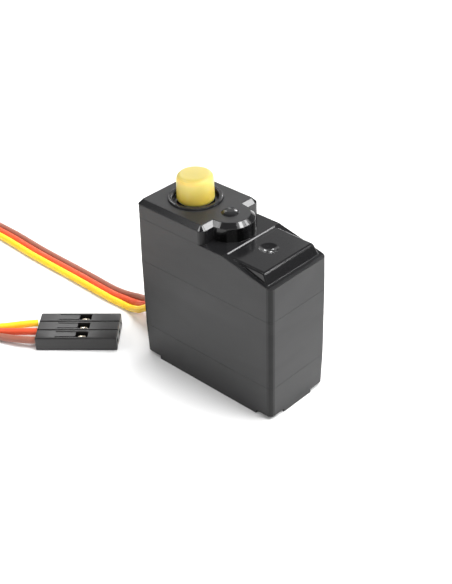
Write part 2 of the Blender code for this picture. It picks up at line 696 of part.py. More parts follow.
# ------------------------------------------------------------------ lead and plug
def catmull_rom(p0, p1, p2, p3, t):
    a = 2 * p1
    b = p2 - p0
    c = 2 * p0 - 5 * p1 + 4 * p2 - p3
    d = 3 * p1 - p0 - 3 * p2 + p3
    return 0.5 * (a + b * t + c * t * t + d * t * t * t)


def smooth_path(route, count):
    """count points, evenly spaced along one smooth curve through the route's points."""
    nodes = [Vector(p) for p in route]
    nodes = [2 * nodes[0] - nodes[1]] + nodes + [2 * nodes[-1] - nodes[-2]]
    fine = []
    for i in range(1, len(nodes) - 2):
        fine += [catmull_rom(*nodes[i - 1:i + 3], step / 24) for step in range(24)]
    fine.append(nodes[-2])
    lengths = [0.0]
    for a, b in zip(fine, fine[1:]):
        lengths.append(lengths[-1] + (b - a).length)
    points = []
    k = 0
    for i in range(count):
        target = lengths[-1] * i / (count - 1)
        while k < len(fine) - 2 and lengths[k + 1] < target:
            k += 1
        share = (target - lengths[k]) / (lengths[k + 1] - lengths[k])
        points.append(fine[k].lerp(fine[k + 1], share))
    return points


def wire_path(side, count=60):
    """One core beside the middle of the lead; side is 1 left of it, 0 on it, -1 right.

    The ribbon leans where it drops to the surface, and spreads in front of the plug.
    """
    along = Vector((math.cos(PLUG_YAW), math.sin(PLUG_YAW), 0))
    back = Vector((*PLUG_CENTRE, PLUG_HEIGHT / 2)) - along * (PLUG_LENGTH / 2 + GAP)
    middle = smooth_path(LEAD_ROUTE + [tuple(back - along * 1.5), tuple(back)], count)
    total = sum((b - a).length for a, b in zip(middle, middle[1:]))
    step = total / (count - 1)
    points = []
    for i, here in enumerate(middle):
        ahead = middle[min(i + 1, count - 1)] - middle[max(i - 1, 0)]
        left = Vector((-ahead.y, ahead.x, 0)).normalized()
        lean = LEAN * math.sin(math.pi * min(1.0, i * step / LEAN_LENGTH)) ** 2
        lean = min(lean, math.asin(min(1.0, max(0.0, here.z - WIRE_R) / WIRE_PITCH)))
        near = min(1.0, max(0.0, 1 - (count - 1 - i) * step / FAN_LENGTH))
        ease = near * near * (3 - 2 * near)
        offset = side * (WIRE_PITCH + (PLUG_PITCH - WIRE_PITCH) * ease)
        points.append(here + left * offset * math.cos(lean) - Vector((0, 0, offset * math.sin(lean))))
    return points


def build_lead():
    cores = (("brown", -1, WIRE_BROWN), ("red", 0, WIRE_RED), ("yellow", 1, WIRE_YELLOW))
    for colour, side, look in cores:
        tube(f"lead_wire_{colour}", wire_path(side), WIRE_R, look)
        y = -side * WIRE_PITCH
        tail = [(-11.65, y, LEAD_Z), (-11.1, y, LEAD_Z), (-10.4, y, 4.8), (-9.8, y, 4.75)]
        tube(f"lead_tail_{colour}", smooth_path(tail, 6), WIRE_R - 0.1, look)


def build_grommet():
    """Strain relief: an inner flange, a neck through the cover's slot and a tapered nose."""
    flange = block("lead_grommet", (-12.65, -11.95), (-2.9, 2.9), (LEAD_Z - 1.3, 5.6), RUBBER)
    neck = block("grommet_neck", (-14.5, -12.5), (-2.1, 2.1), (LEAD_Z - 0.8, 5.6))
    bm = bmesh.new()
    bmesh.ops.create_cube(bm, size=1.0)
    for v in bm.verts:
        tip = v.co.x < 0
        half_y = 2.2 if tip else 2.6
        half_z = 0.95 if tip else 1.15
        x = GROMMET_FACE_X if tip else -HALF_L - GAP
        v.co = (x, half_y if v.co.y > 0 else -half_y, LEAD_Z + (half_z if v.co.z > 0 else -half_z))
    bmesh.ops.bevel(bm, geom=bm.edges[:], offset=0.25, segments=2, profile=0.5, affect="EDGES")
    nose = place("grommet_nose", finish_mesh(bm, "grommet_nose"))
    join(flange, neck, nose)


def build_plug():
    """A three-way socket housing with its crimp contacts, lying flat at the lead's end."""
    frame = bpy.data.objects.new("plug_frame", None)
    PARTS.objects.link(frame)
    frame.location = Vector((*PLUG_CENTRE, 0)) * MM
    frame.rotation_euler = (0, 0, PLUG_YAW)
    half_l, half_w = PLUG_LENGTH / 2, PLUG_WIDTH / 2
    housing = block("plug_housing", (-half_l, half_l), (-half_w, half_w), (0, PLUG_HEIGHT), PLUG_BLACK)
    housing.parent = frame
    for i in (-1, 0, 1):
        y = i * PLUG_PITCH
        channel = block(f"plug_channel_{i}", (-half_l - 1, half_l + 1), (y - 0.95, y + 0.95), (0.42, 2.0))
        window = block(f"plug_window_{i}", (-0.2, 1.9), (y - 0.75, y + 0.75), (1.5, 4.0))
        for cutter in (channel, window):
            cutter.parent = frame
            cut(housing, cutter)
        contact = block(f"plug_contact_{i + 2}", (-4.6, 5.6), (y - 0.62, y + 0.62), (0.72, 1.68), STEEL)
        socket = block(f"plug_contact_bore_{i}", (1.0, 8.0), (y - 0.36, y + 0.36), (0.92, 1.42))
        crimp = block(f"plug_contact_trough_{i}", (-6.0, -1.2), (y - 0.4, y + 0.4), (1.0, 3.0))
        for piece in (contact, socket, crimp):
            piece.parent = frame
        cut(contact, socket, crimp)


# ------------------------------------------------------------------ the whole servo
upper_case()
middle_case()
bottom_cover()
case_screws()
build_output()
build_cap()
build_bushing()
build_gears()
turned("idler_pin", [(0, 28.8), (PIN_R - 0.1, 28.8), (PIN_R, 28.7), (PIN_R, 17.6), (PIN_R - 0.1, 17.5),
                     (0, 17.5)], (IDLER_X, 0), STEEL, 16)
build_motor()
build_armature()
build_potentiometer()
build_board()
build_lead()
build_grommet()
build_plug()
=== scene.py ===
"""A black box-shaped servo with a yellow shaft cap and a three-core lead, on a pale surface."""
import json
import math
import bmesh
import bpy
from mathutils import Matrix, Vector


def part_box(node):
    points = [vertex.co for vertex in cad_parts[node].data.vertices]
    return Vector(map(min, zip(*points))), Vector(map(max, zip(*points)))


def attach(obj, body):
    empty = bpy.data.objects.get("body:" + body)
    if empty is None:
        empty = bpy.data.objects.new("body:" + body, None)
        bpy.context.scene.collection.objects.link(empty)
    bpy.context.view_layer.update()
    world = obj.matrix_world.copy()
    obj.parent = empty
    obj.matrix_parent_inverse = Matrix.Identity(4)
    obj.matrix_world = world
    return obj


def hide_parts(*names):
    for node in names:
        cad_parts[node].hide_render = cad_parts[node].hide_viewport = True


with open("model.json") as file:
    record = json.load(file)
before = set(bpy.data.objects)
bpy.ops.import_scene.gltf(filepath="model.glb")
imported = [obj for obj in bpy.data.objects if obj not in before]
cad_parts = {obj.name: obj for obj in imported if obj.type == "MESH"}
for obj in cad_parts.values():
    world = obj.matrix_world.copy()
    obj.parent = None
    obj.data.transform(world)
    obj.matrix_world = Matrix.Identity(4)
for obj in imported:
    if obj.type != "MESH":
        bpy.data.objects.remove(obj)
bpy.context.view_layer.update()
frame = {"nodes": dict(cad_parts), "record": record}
NODES = frame["nodes"]
MM = 0.001

# ------------------------------------------------------------------ camera
FOCAL_LENGTH = 89.486
CAMERA_AT = (0.1022497, -0.1075676, 0.1141)
RIGHT = Vector((0.73182, 0.68105, -0.02455))
UP = Vector((-0.36355, 0.42062, 0.83121))
BACK = Vector((0.57642, -0.59937, 0.55542))


def add_camera():
    data = bpy.data.cameras.new("camera")
    data.sensor_fit = "HORIZONTAL"
    data.sensor_width = 36.0
    data.lens = FOCAL_LENGTH
    data.clip_start = 0.005
    data.clip_end = 20.0
    cam = bpy.data.objects.new("camera", data)
    rotation = Matrix((RIGHT, UP, BACK)).transposed().to_4x4()
    cam.matrix_world = Matrix.Translation(CAMERA_AT) @ rotation
    bpy.context.scene.collection.objects.link(cam)
    bpy.context.scene.camera = cam


add_camera()


# ------------------------------------------------------------------ material nodes
class Nodes:
    """Small helper that adds shader nodes and wires them up."""

    def __init__(self, name):
        self.mat = bpy.data.materials.new(name)
        self.mat.use_nodes = True
        self.tree = self.mat.node_tree
        self.shader = self.tree.nodes["Principled BSDF"]
        self.coords = self.add("ShaderNodeTexCoord").outputs["Object"]

    def add(self, kind, **values):
        node = self.tree.nodes.new(kind)
        for key, value in values.items():
            setattr(node, key, value)
        return node

    def wire(self, source, target):
        self.tree.links.new(source, target)
        return source

    def put(self, socket, value):
        if isinstance(value, bpy.types.NodeSocket):
            self.wire(value, socket)
        else:
            socket.default_value = value

    def scaled(self, stretch):
        node = self.add("ShaderNodeMapping")
        node.inputs["Scale"].default_value = stretch
        self.wire(self.coords, node.inputs["Vector"])
        return node.outputs["Vector"]

    def noise(self, scale, detail=3.0, roughness=0.55, at=None, distortion=0.0):
        node = self.add("ShaderNodeTexNoise")
        node.inputs["Scale"].default_value = scale
        node.inputs["Detail"].default_value = detail
        node.inputs["Roughness"].default_value = roughness
        node.inputs["Distortion"].default_value = distortion
        self.wire(at or self.coords, node.inputs["Vector"])
        return node.outputs["Fac"]

    def ramp(self, value, low, high, out_low=0.0, out_high=1.0):
        node = self.add("ShaderNodeMapRange")
        node.interpolation_type = "SMOOTHSTEP"
        self.put(node.inputs["Value"], value)
        for key, number in (("From Min", low), ("From Max", high),
                            ("To Min", out_low), ("To Max", out_high)):
            node.inputs[key].default_value = number
        return node.outputs["Result"]

    def math(self, operation, a, b=0.0):
        node = self.add("ShaderNodeMath", operation=operation)
        self.put(node.inputs[0], a)
        self.put(node.inputs[1], b)
        return node.outputs[0]

    def mix(self, share, a, b, kind="RGBA"):
        """a where share is 0 and b where it is 1: colours, or else numbers or vectors."""
        first, result = {"FLOAT": (2, 0), "VECTOR": (4, 1), "RGBA": (6, 2)}[kind]
        node = self.add("ShaderNodeMix", data_type=kind)
        self.put(node.inputs["Factor"], share)
        self.put(node.inputs[first], a)
        self.put(node.inputs[first + 1], b)
        return node.outputs[result]

    def product(self, *factors):
        result = factors[0]
        for factor in factors[1:]:
            result = self.math("MULTIPLY", result, factor)
        return result

    def split(self, vector):
        """The X, Y and Z of a vector, by name."""
        node = self.add("ShaderNodeSeparateXYZ")
        self.wire(vector, node.inputs[0])
        return node.outputs

    def true_normal(self):
        return self.add("ShaderNodeNewGeometry").outputs["Normal"]

    def edges(self, radius):
        """A rounded normal, and how far it turns from the true one: 0 on flats, more at edges."""
        bevel = self.add("ShaderNodeBevel", samples=6)
        bevel.inputs["Radius"].default_value = radius
        dot = self.add("ShaderNodeVectorMath", operation="DOT_PRODUCT")
        self.wire(bevel.outputs["Normal"], dot.inputs[0])
        self.wire(self.true_normal(), dot.inputs[1])
        return bevel.outputs["Normal"], self.math("SUBTRACT", 1.0, dot.outputs["Value"])

    def bump(self, height, strength, distance, normal=None):
        node = self.add("ShaderNodeBump")
        node.inputs["Strength"].default_value = strength
        node.inputs["Distance"].default_value = distance
        self.wire(height, node.inputs["Height"])
        if normal is not None:
            self.wire(normal, node.inputs["Normal"])
        return node.outputs["Normal"]

    def finish(self, **inputs):
        for key, value in inputs.items():
            self.put(self.shader.inputs[key.replace("_", " ")], value)
        return self.mat


def linear(value):
    """One 0-255 display value as linear light."""
    if value <= 10:
        return value / (255 * 12.92)
    return ((value / 255 + 0.055) / 1.055) ** 2.4


def rgb(red, green, blue):
    """A colour from 0-255 display values, as linear light."""
    return (linear(red), linear(green), linear(blue), 1.0)


def tinted(colour, factor):
    return (*(min(1.0, c * factor) for c in colour[:3]), 1.0)


# ------------------------------------------------------------------ materials
WORN_EDGE = (0.01, 0.16)            # how far an edge's normal turns: unworn, fully worn
WORN_PATCHES = (0.35, 0.7)          # the noise values over which an edge goes from unworn to worn
MIDDLE = (0.3, 0.7)                 # the range that most of a noise's values lie in
GRAIN_DEPTH = 0.012 * MM

CASE_END, CASE_SIDE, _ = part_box("upper_case")[1]
CAP_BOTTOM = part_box("shaft_cap")[0].z
PLATEAU = 29.55 * MM
SEAM_HEIGHTS = [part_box(shell)[0].z - 0.05 * MM for shell in ("middle_case", "upper_case")]

# each pair below is where a soft limit starts and where it ends
SEAM_HALF_WIDTH = (0.2 * MM, 0.3 * MM)
ROOF_HALF_WIDTH = (CASE_SIDE - 0.25 * MM, CASE_SIDE - 0.15 * MM)
ROOF_END = (CASE_END - 0.3 * MM, CASE_END - 0.2 * MM)
ROOF_LOWEST = (24.3 * MM, 24.6 * MM)
BELOW_PLATEAU = (PLATEAU - 0.1 * MM, PLATEAU - 0.05 * MM)
ABOVE_PLATEAU = (PLATEAU + 0.02 * MM, PLATEAU + 0.05 * MM)
PLATEAU_END = (0.2 * MM, 0.4 * MM)
# the foot of the cap, where a pale band is painted in as painted light
CAP_LIT_FOOT = (CAP_BOTTOM, CAP_BOTTOM + 0.5 * MM)
# over which the cap's side goes from amber to paler upwards, painted as light from above
CAP_SIDE = (CAP_BOTTOM + 0.4 * MM, CAP_BOTTOM + 3.8 * MM)


def moulded(name, colour, roughness, grain=0.25, bevel=0.12, worn=0.35):
    """Injection-moulded plastic: fine spark-eroded grain, faint flow marks, slightly polished edges."""
    m = Nodes(name)
    normal, edge = m.edges(bevel * MM)
    cloud = m.noise(160, 3)
    flow = m.noise(45, 4, at=m.scaled((1, 1, 5)), distortion=1.5)
    fine = m.noise(5200, 2, 0.6)
    speck = m.ramp(m.noise(1500, 2), 0.66, 0.74)
    wear = m.product(m.ramp(edge, *WORN_EDGE), m.ramp(m.noise(900, 4), *WORN_PATCHES))
    base = m.mix(cloud, tinted(colour, 0.88), tinted(colour, 1.12))
    base = m.mix(m.product(speck, 0.25), base, tinted(colour, 1.8))
    base = m.mix(m.product(wear, worn), base, tinted(colour, 2.4))
    rough = m.math("ADD", m.ramp(flow, *MIDDLE, roughness - 0.035, roughness + 0.035),
                   m.product(wear, -0.06))
    bumped = m.bump(fine, grain, GRAIN_DEPTH, normal)
    return m.finish(Base_Color=base, Roughness=rough, Normal=bumped, IOR=1.5)


def case_material():
    """Black ABS: satin sides and plateau, with the stepped deck, boss and panel polished."""
    m = Nodes("case_black")
    black = rgb(24, 24, 25)
    normal, edge = m.edges(0.14 * MM)
    place = m.split(m.coords)
    facing = m.split(m.true_normal())

    seams = (m.math("ABSOLUTE", m.math("SUBTRACT", place["Z"], height)) for height in SEAM_HEIGHTS)
    off_seams = m.ramp(m.math("MINIMUM", *seams), *SEAM_HALF_WIDTH)
    edge = m.product(edge, off_seams)
    normal = m.mix(off_seams, m.true_normal(), normal, "VECTOR")

    upright = m.ramp(m.math("ABSOLUTE", facing["Z"]), 0.1, 0.3, 1.0, 0.0)
    diagonal = m.math("ABSOLUTE", m.product(facing["X"], facing["Y"]))
    # the rounded upright corners: painted shade darkens their colour, and they are dulled
    shaded_corner = m.product(m.ramp(diagonal, 0.05, 0.35), upright)

    within = m.product(m.ramp(m.math("ABSOLUTE", place["Y"]), *ROOF_HALF_WIDTH, 1.0, 0.0),
                       m.ramp(place["X"], *ROOF_END, 1.0, 0.0))
    roof = m.product(m.ramp(place["Z"], *ROOF_LOWEST), within,
                     m.ramp(place["Z"], *BELOW_PLATEAU, 1.0, 0.0))
    level = m.ramp(facing["Z"], 0.3, 0.5)
    roof = m.product(roof, m.math("MAXIMUM", m.ramp(place["X"], *PLATEAU_END), level))
    polished = m.math("MAXIMUM", roof, m.ramp(place["Z"], *ABOVE_PLATEAU))
    # the upward-facing plateau top, painted lighter as painted light and made a little rougher
    lit_top = m.product(m.ramp(place["Z"], *BELOW_PLATEAU), m.ramp(facing["Z"], 0.8, 0.95))

    cloud = m.noise(140, 3)
    flow = m.noise(38, 4, at=m.scaled((1, 1, 4)), distortion=1.5)
    fine = m.noise(4200, 2, 0.6)
    speck = m.ramp(m.noise(1300, 2), 0.67, 0.75)
    wear = m.product(m.ramp(edge, *WORN_EDGE), m.ramp(m.noise(800, 4), *WORN_PATCHES),
                     m.ramp(upright, 0.0, 1.0, 1.0, 0.2))
    base = m.mix(cloud, tinted(black, 0.85), tinted(black, 1.15))
    # painted shade: the rounded upright corners are painted much darker than the flat faces
    base = m.mix(shaded_corner, base, tinted(black, 0.2))
    base = m.mix(m.product(speck, 0.2), base, tinted(black, 2.2))
    base = m.mix(m.product(wear, 0.3), base, tinted(black, 3.2))
    # painted light: the plateau top is painted lighter than the sides
    base = m.mix(lit_top, base, m.mix(cloud, tinted(black, 1.5), tinted(black, 1.9)))

    satin = m.math("ADD", m.ramp(flow, *MIDDLE, 0.36, 0.43), m.product(lit_top, 0.12))
    gloss = m.ramp(flow, *MIDDLE, 0.11, 0.15)
    dull = m.ramp(flow, *MIDDLE, 0.6, 0.66)
    dulled = m.product(shaded_corner, m.ramp(polished, 0.0, 1.0, 1.0, 0.0))
    rough = m.mix(dulled, m.mix(polished, satin, gloss, "FLOAT"), dull, "FLOAT")
    grain = m.product(fine, m.ramp(polished, 0.0, 1.0, 1.0, 0.12))
    return m.finish(Base_Color=base, Roughness=rough, IOR=1.47,
                    Normal=m.bump(grain, 0.35, GRAIN_DEPTH, normal))


def cap_material():
    """Smooth nylon, slightly translucent, with light painted into its colour: a painted pale band at its
    foot, amber above that painted paler upwards, painted shade on its upward faces and a painted pale
    highlight along its rounded edges.
    """
    m = Nodes("cap_yellow")
    normal, edge = m.edges(0.3 * MM)
    place = m.split(m.coords)
    facing = m.split(m.true_normal())
    cloud = m.noise(260, 3)
    # painted light: the cap's side is amber low down and painted paler upwards
    base = m.mix(m.ramp(place["Z"], *CAP_SIDE), rgb(252, 206, 92), rgb(246, 218, 122))
    # painted light: a pale band painted at the cap's foot
    base = m.mix(m.ramp(place["Z"], *CAP_LIT_FOOT, 0.6, 0.0), base, rgb(255, 228, 150))
    # painted shade: the cap's upward faces are painted darker
    base = m.mix(m.ramp(facing["Z"], 0.1, 1.0), base, rgb(166, 158, 90))
    base = m.mix(m.product(cloud, 0.2), base, rgb(236, 188, 84))
    # painted highlight: a pale rim painted along the cap's rounded edges
    base = m.mix(m.product(m.ramp(edge, 0.01, 0.2), 0.15), base, rgb(246, 232, 170))
    rough = m.ramp(m.noise(420, 3), *MIDDLE, 0.3, 0.38)
    bumped = m.bump(m.noise(2600, 2), 0.15, 0.01 * MM, normal)
    m.shader.inputs["Subsurface Radius"].default_value = (1.0, 0.75, 0.3)
    return m.finish(Base_Color=base, Roughness=rough, Normal=bumped, IOR=1.5,
                    Subsurface_Weight=1.0, Subsurface_Scale=1.2 * MM)


def wire_material(name, colour):
    """Soft PVC insulation: a fine bumpy surface, a little dust and a waxy sheen."""
    m = Nodes(name)
    cloud = m.noise(220, 3)
    dust = m.ramp(m.noise(700, 5, 0.7), 0.55, 0.75)
    base = m.mix(cloud, tinted(colour, 0.9), tinted(colour, 1.08))
    base = m.mix(m.product(dust, 0.12), base, tinted(colour, 0.7))
    rough = m.ramp(m.noise(500, 4), *MIDDLE, 0.42, 0.52)
    bumped = m.bump(m.noise(1800, 3), 0.2, 0.02 * MM)
    m.shader.inputs["Subsurface Radius"].default_value = (1.0, 0.5, 0.3)
    return m.finish(Base_Color=base, Roughness=rough, Normal=bumped, IOR=1.48,
                    Subsurface_Weight=0.4, Subsurface_Scale=0.8 * MM)


def metal(name, colour, roughness, brush=(1, 1, 1), bevel=0.06):
    """Machined or pressed metal: brushing along one way, small scratches, brighter edges."""
    m = Nodes(name)
    normal, edge = m.edges(bevel * MM)
    lines = m.noise(2600, 3, at=m.scaled(brush))
    stain = m.noise(180, 4)
    base = m.mix(stain, tinted(colour, 0.82), tinted(colour, 1.08))
    base = m.mix(m.product(m.ramp(edge, *WORN_EDGE), 0.6), base, tinted(colour, 1.35))
    rough = m.math("ADD", m.ramp(lines, *MIDDLE, roughness - 0.05, roughness + 0.06),
                   m.ramp(stain, 0.4, 0.8, 0.0, 0.08))
    bumped = m.bump(lines, 0.2, 0.008 * MM, normal)
    return m.finish(Base_Color=base, Roughness=rough, Normal=bumped, Metallic=1.0)


def winding_material():
    """Enamelled copper wire laid round and round."""
    m = Nodes("copper")
    wave = m.add("ShaderNodeTexWave", wave_type="BANDS", bands_direction="Z")
    wave.inputs["Scale"].default_value = 1100
    wave.inputs["Distortion"].default_value = 0.6
    m.wire(m.coords, wave.inputs["Vector"])
    copper = rgb(196, 108, 62)
    # painted shade: each band is painted darker towards its groove, as shade between turns
    base = m.mix(wave.outputs["Fac"], tinted(copper, 0.5), tinted(copper, 1.1))
    rough = m.ramp(m.noise(600, 3), *MIDDLE, 0.22, 0.34)
    return m.finish(Base_Color=base, Roughness=rough, Metallic=1.0,
                    Normal=m.bump(wave.outputs["Fac"], 0.6, 0.03 * MM))


def board_material():
    """Green solder mask over copper tracks, with pale cut edges."""
    m = Nodes("board_green")
    normal, edge = m.edges(0.05 * MM)
    tracks = m.add("ShaderNodeTexBrick")
    tracks.inputs["Scale"].default_value = 620
    tracks.inputs["Mortar Size"].default_value = 0.03
    m.wire(m.coords, tracks.inputs["Vector"])
    green = rgb(22, 92, 52)
    base = m.mix(m.product(tracks.outputs["Fac"], 0.6), green, rgb(48, 132, 72))
    base = m.mix(m.ramp(m.noise(330, 3), *MIDDLE, 0.0, 0.3), base, rgb(14, 66, 40))
    base = m.mix(m.product(m.ramp(edge, *WORN_EDGE), 0.5), base, rgb(176, 168, 120))
    rough = m.ramp(m.noise(500, 3), *MIDDLE, 0.28, 0.42)
    return m.finish(Base_Color=base, Roughness=rough,
                    Normal=m.bump(tracks.outputs["Fac"], 0.4, 0.02 * MM, normal))


LOOKS = {
    "case_black": case_material(),
    "cap_yellow": cap_material(),
    "gear_nylon": moulded("gear_nylon", rgb(232, 226, 208), 0.38, grain=0.15, bevel=0.05, worn=0.1),
    "steel": metal("steel", rgb(190, 190, 194), 0.26, (1, 1, 12)),
    "contact_metal": metal("contact_metal", rgb(216, 206, 186), 0.2, (8, 1, 1), 0.04),
    "brass": metal("brass", rgb(212, 172, 96), 0.28, (1, 1, 10)),
    "copper": winding_material(),
    "magnet": moulded("magnet", rgb(58, 56, 58), 0.6, grain=0.8),
    "white_plastic": moulded("white_plastic", rgb(226, 226, 220), 0.42),
    "phenolic": moulded("phenolic", rgb(140, 92, 48), 0.5, grain=0.5),
    "board_green": board_material(),
    "chip_black": moulded("chip_black", rgb(34, 34, 36), 0.5, grain=0.6, bevel=0.06),
    "rubber_black": moulded("rubber_black", rgb(30, 29, 29), 0.6, grain=0.5, bevel=0.1, worn=0.15),
    "wire_brown": wire_material("wire_brown", rgb(148, 94, 78)),
    "wire_red": wire_material("wire_red", rgb(212, 84, 50)),
    "wire_yellow": wire_material("wire_yellow", rgb(248, 203, 42)),
    "plug_black": moulded("plug_black", rgb(32, 31, 31), 0.34, grain=0.2, bevel=0.1),
}

slot_of = {row["node"]: row["material_slot"] for row in frame["record"]["subparts"]}
for node_name, node in NODES.items():
    look = LOOKS[slot_of[node_name]]
    node.data.materials.clear()
    node.data.materials.append(look)


# ------------------------------------------------------------------ lead, in mm
WIRE_R = 0.62
WIRE_PITCH = 1.27
WIRE_POINTS = 240
CURVE_STEPS = 24
PLUG_PITCH = 2.54
PLUG_LENGTH = 14.0
PLUG_WIDTH = 7.62
PLUG_HEIGHT = 2.54
PLUG_YAW = math.radians(41.0)
PLUG_CENTRE = (-25.7, -11.4)
GAP = 0.3
FAN_LENGTH = 9.0              # over which the cores spread to the plug's pitch
LEAN_LENGTH = 17.0            # over which the ribbon leans as it drops from the case
LEAN = math.radians(34)
LEAD_ROUTE = [
    (-16.05, 0.0, 4.9), (-17.6, 0.0, 4.75), (-19.5, 0.0, 4.0), (-21.7, 0.15, 2.75),
    (-24.1, 0.8, 1.65), (-27.0, 1.05, 0.95), (-31.2, 0.9, 0.7), (-40.0, 1.05, 0.66),
    (-52.0, 1.1, 0.66), (-63.0, 1.5, 0.66), (-73.2, 0.7, 0.66), (-82.2, -3.6, 0.66),
    (-88.2, -11.4, 0.66), (-89.4, -20.8, 0.66), (-85.4, -29.4, 0.66), (-77.8, -34.8, 0.66),
    (-68.6, -36.2, 0.66), (-59.6, -34.0, 0.66), (-51.6, -29.9, 0.66), (-44.4, -25.3, 0.66),
    (-38.2, -21.2, 0.75),
]


def catmull_rom(p0, p1, p2, p3, t):
    a = 2 * p1
    b = p2 - p0
    c = 2 * p0 - 5 * p1 + 4 * p2 - p3
    d = 3 * p1 - p0 - 3 * p2 + p3
    return 0.5 * (a + b * t + c * t * t + d * t * t * t)


def smooth_path(route, count):
    """count points, evenly spaced along one smooth curve through the route's points."""
    nodes = [Vector(p) for p in route]
    nodes = [2 * nodes[0] - nodes[1]] + nodes + [2 * nodes[-1] - nodes[-2]]
    fine = []
    for i in range(1, len(nodes) - 2):
        fine += [catmull_rom(*nodes[i - 1:i + 3], step / CURVE_STEPS) for step in range(CURVE_STEPS)]
    fine.append(nodes[-2])
    lengths = [0.0]
    for a, b in zip(fine, fine[1:]):
        lengths.append(lengths[-1] + (b - a).length)
    points = []
    k = 0
    for i in range(count):
        target = lengths[-1] * i / (count - 1)
        while k < len(fine) - 2 and lengths[k + 1] < target:
            k += 1
        share = (target - lengths[k]) / (lengths[k + 1] - lengths[k])
        points.append(fine[k].lerp(fine[k + 1], share))
    return points


def path_length(points):
    return sum((b - a).length for a, b in zip(points, points[1:]))


def wire_path(side, count=WIRE_POINTS):
    """One core beside the middle of the lead; side is 1 left of it, 0 on it, -1 right."""
    along = Vector((math.cos(PLUG_YAW), math.sin(PLUG_YAW), 0))
    back = Vector((*PLUG_CENTRE, PLUG_HEIGHT / 2)) - along * (PLUG_LENGTH / 2 + GAP)
    middle = smooth_path(LEAD_ROUTE + [tuple(back - along * 1.5), tuple(back)], count)
    step = path_length(middle) / (count - 1)
    points = []
    for i, here in enumerate(middle):
        ahead = middle[min(i + 1, count - 1)] - middle[max(i - 1, 0)]
        left = Vector((-ahead.y, ahead.x, 0)).normalized()
        lean = LEAN * math.sin(math.pi * min(1.0, i * step / LEAN_LENGTH)) ** 2
        lean = min(lean, math.asin(min(1.0, max(0.0, here.z - WIRE_R) / WIRE_PITCH)))
        near = min(1.0, max(0.0, 1 - (count - 1 - i) * step / FAN_LENGTH))
        ease = near * near * (3 - 2 * near)
        offset = side * (WIRE_PITCH + (PLUG_PITCH - WIRE_PITCH) * ease)
        points.append(here + left * offset * math.cos(lean) - Vector((0, 0, offset * math.sin(lean))))
    return points


def add_mesh(name, bm, slot, body="case", smooth_angle=35):
    mesh = bpy.data.meshes.new(name)
    bm.to_mesh(mesh)
    bm.free()
    mesh.shade_smooth()
    mesh.set_sharp_from_angle(angle=math.radians(smooth_angle))
    obj = bpy.data.objects.new(name, mesh)
    bpy.context.scene.collection.objects.link(obj)
    mesh.materials.append(LOOKS[slot])
    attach(obj, body)
    return obj


def tube(name, points, radius, slot, sides=20):
    """A round tube with flat ends along points, in mm."""
    bm = bmesh.new()
    up = Vector((0, 0, 1))
    rings = []
    last = len(points) - 1
    for i, here in enumerate(points):
        ahead = (points[min(i + 1, last)] - points[max(i - 1, 0)]).normalized()
        side = ahead.cross(up).normalized()
        over = side.cross(ahead).normalized()
        ring = []
        for k in range(sides):
            turn = 2 * math.pi * k / sides
            out = side * math.cos(turn) + over * math.sin(turn)
            ring.append(bm.verts.new((here + out * radius) * MM))
        rings.append(ring)
    for a, b in zip(rings, rings[1:]):
        for k in range(sides):
            n = (k + 1) % sides
            bm.faces.new((a[k], a[n], b[n], b[k]))
    bm.faces.new(rings[0][::-1])
    bm.faces.new(rings[-1])
    bmesh.ops.recalc_face_normals(bm, faces=bm.faces)
    return add_mesh(name, bm, slot)


# ------------------------------------------------------------------ case
SEAM = 0.03 * MM
SAME_HEIGHT = 0.01 * MM


def closed_up(node, name, above):
    """A copy of a shell whose rim rises to a hair's width from the shell above."""
    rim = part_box(node)[1].z
    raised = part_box(above)[0].z - SEAM
    mesh = NODES[node].data.copy()
    mesh.name = name
    for v in mesh.vertices:
        if abs(v.co.z - rim) < SAME_HEIGHT:
            v.co.z = raised
    obj = bpy.data.objects.new(name, mesh)
    bpy.context.scene.collection.objects.link(obj)
    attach(obj, "case")
    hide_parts(node)


closed_up("middle_case", "case_middle", above="upper_case")
closed_up("bottom_cover", "case_cover", above="middle_case")

# ------------------------------------------------------------------ plug, in mm
PLUG_ROUND = 0.22
GROOVE = 0.14                 # half the width, and the depth, of the grooves between ways
OUT = 1.0                     # how far a cutter reaches past the surface
PLUG_FRAME = Matrix.Translation(Vector((*PLUG_CENTRE, 0))) @ Matrix.Rotation(PLUG_YAW, 4, "Z")


def block(bm, xs, ys, zs, bevel=0.0, segments=2):
    """A box from its ranges, in mm, with rounded edges."""
    made = bmesh.ops.create_cube(bm, size=1.0)["verts"]
    for v in made:
        v.co = (xs[v.co.x > 0], ys[v.co.y > 0], zs[v.co.z > 0])
    if bevel:
        edges = list({e for v in made for e in v.link_edges})
        bmesh.ops.bevel(bm, geom=edges, offset=bevel, segments=segments, profile=0.5, affect="EDGES")


def to_object(name, bm, matrix):
    bmesh.ops.recalc_face_normals(bm, faces=bm.faces)
    bm.transform(Matrix.Scale(MM, 4) @ matrix)
    mesh = bpy.data.meshes.new(name)
    bm.to_mesh(mesh)
    bm.free()
    obj = bpy.data.objects.new(name, mesh)
    bpy.context.scene.collection.objects.link(obj)
    return obj


def carved(body, cutters):
    """The mesh of body with the cutters' volume taken out; the cutters are used up."""
    for cutter in cutters:
        mod = body.modifiers.new("cut", "BOOLEAN")
        mod.operation = "DIFFERENCE"
        mod.solver = "EXACT"
        mod.object = cutter
    bpy.context.view_layer.update()
    graph = bpy.context.evaluated_depsgraph_get()
    mesh = bpy.data.meshes.new_from_object(body.evaluated_get(graph))
    for obj in [body, *cutters]:
        bpy.data.objects.remove(obj, do_unlink=True)
    bm = bmesh.new()
    bm.from_mesh(mesh)
    bpy.data.meshes.remove(mesh)
    return bm


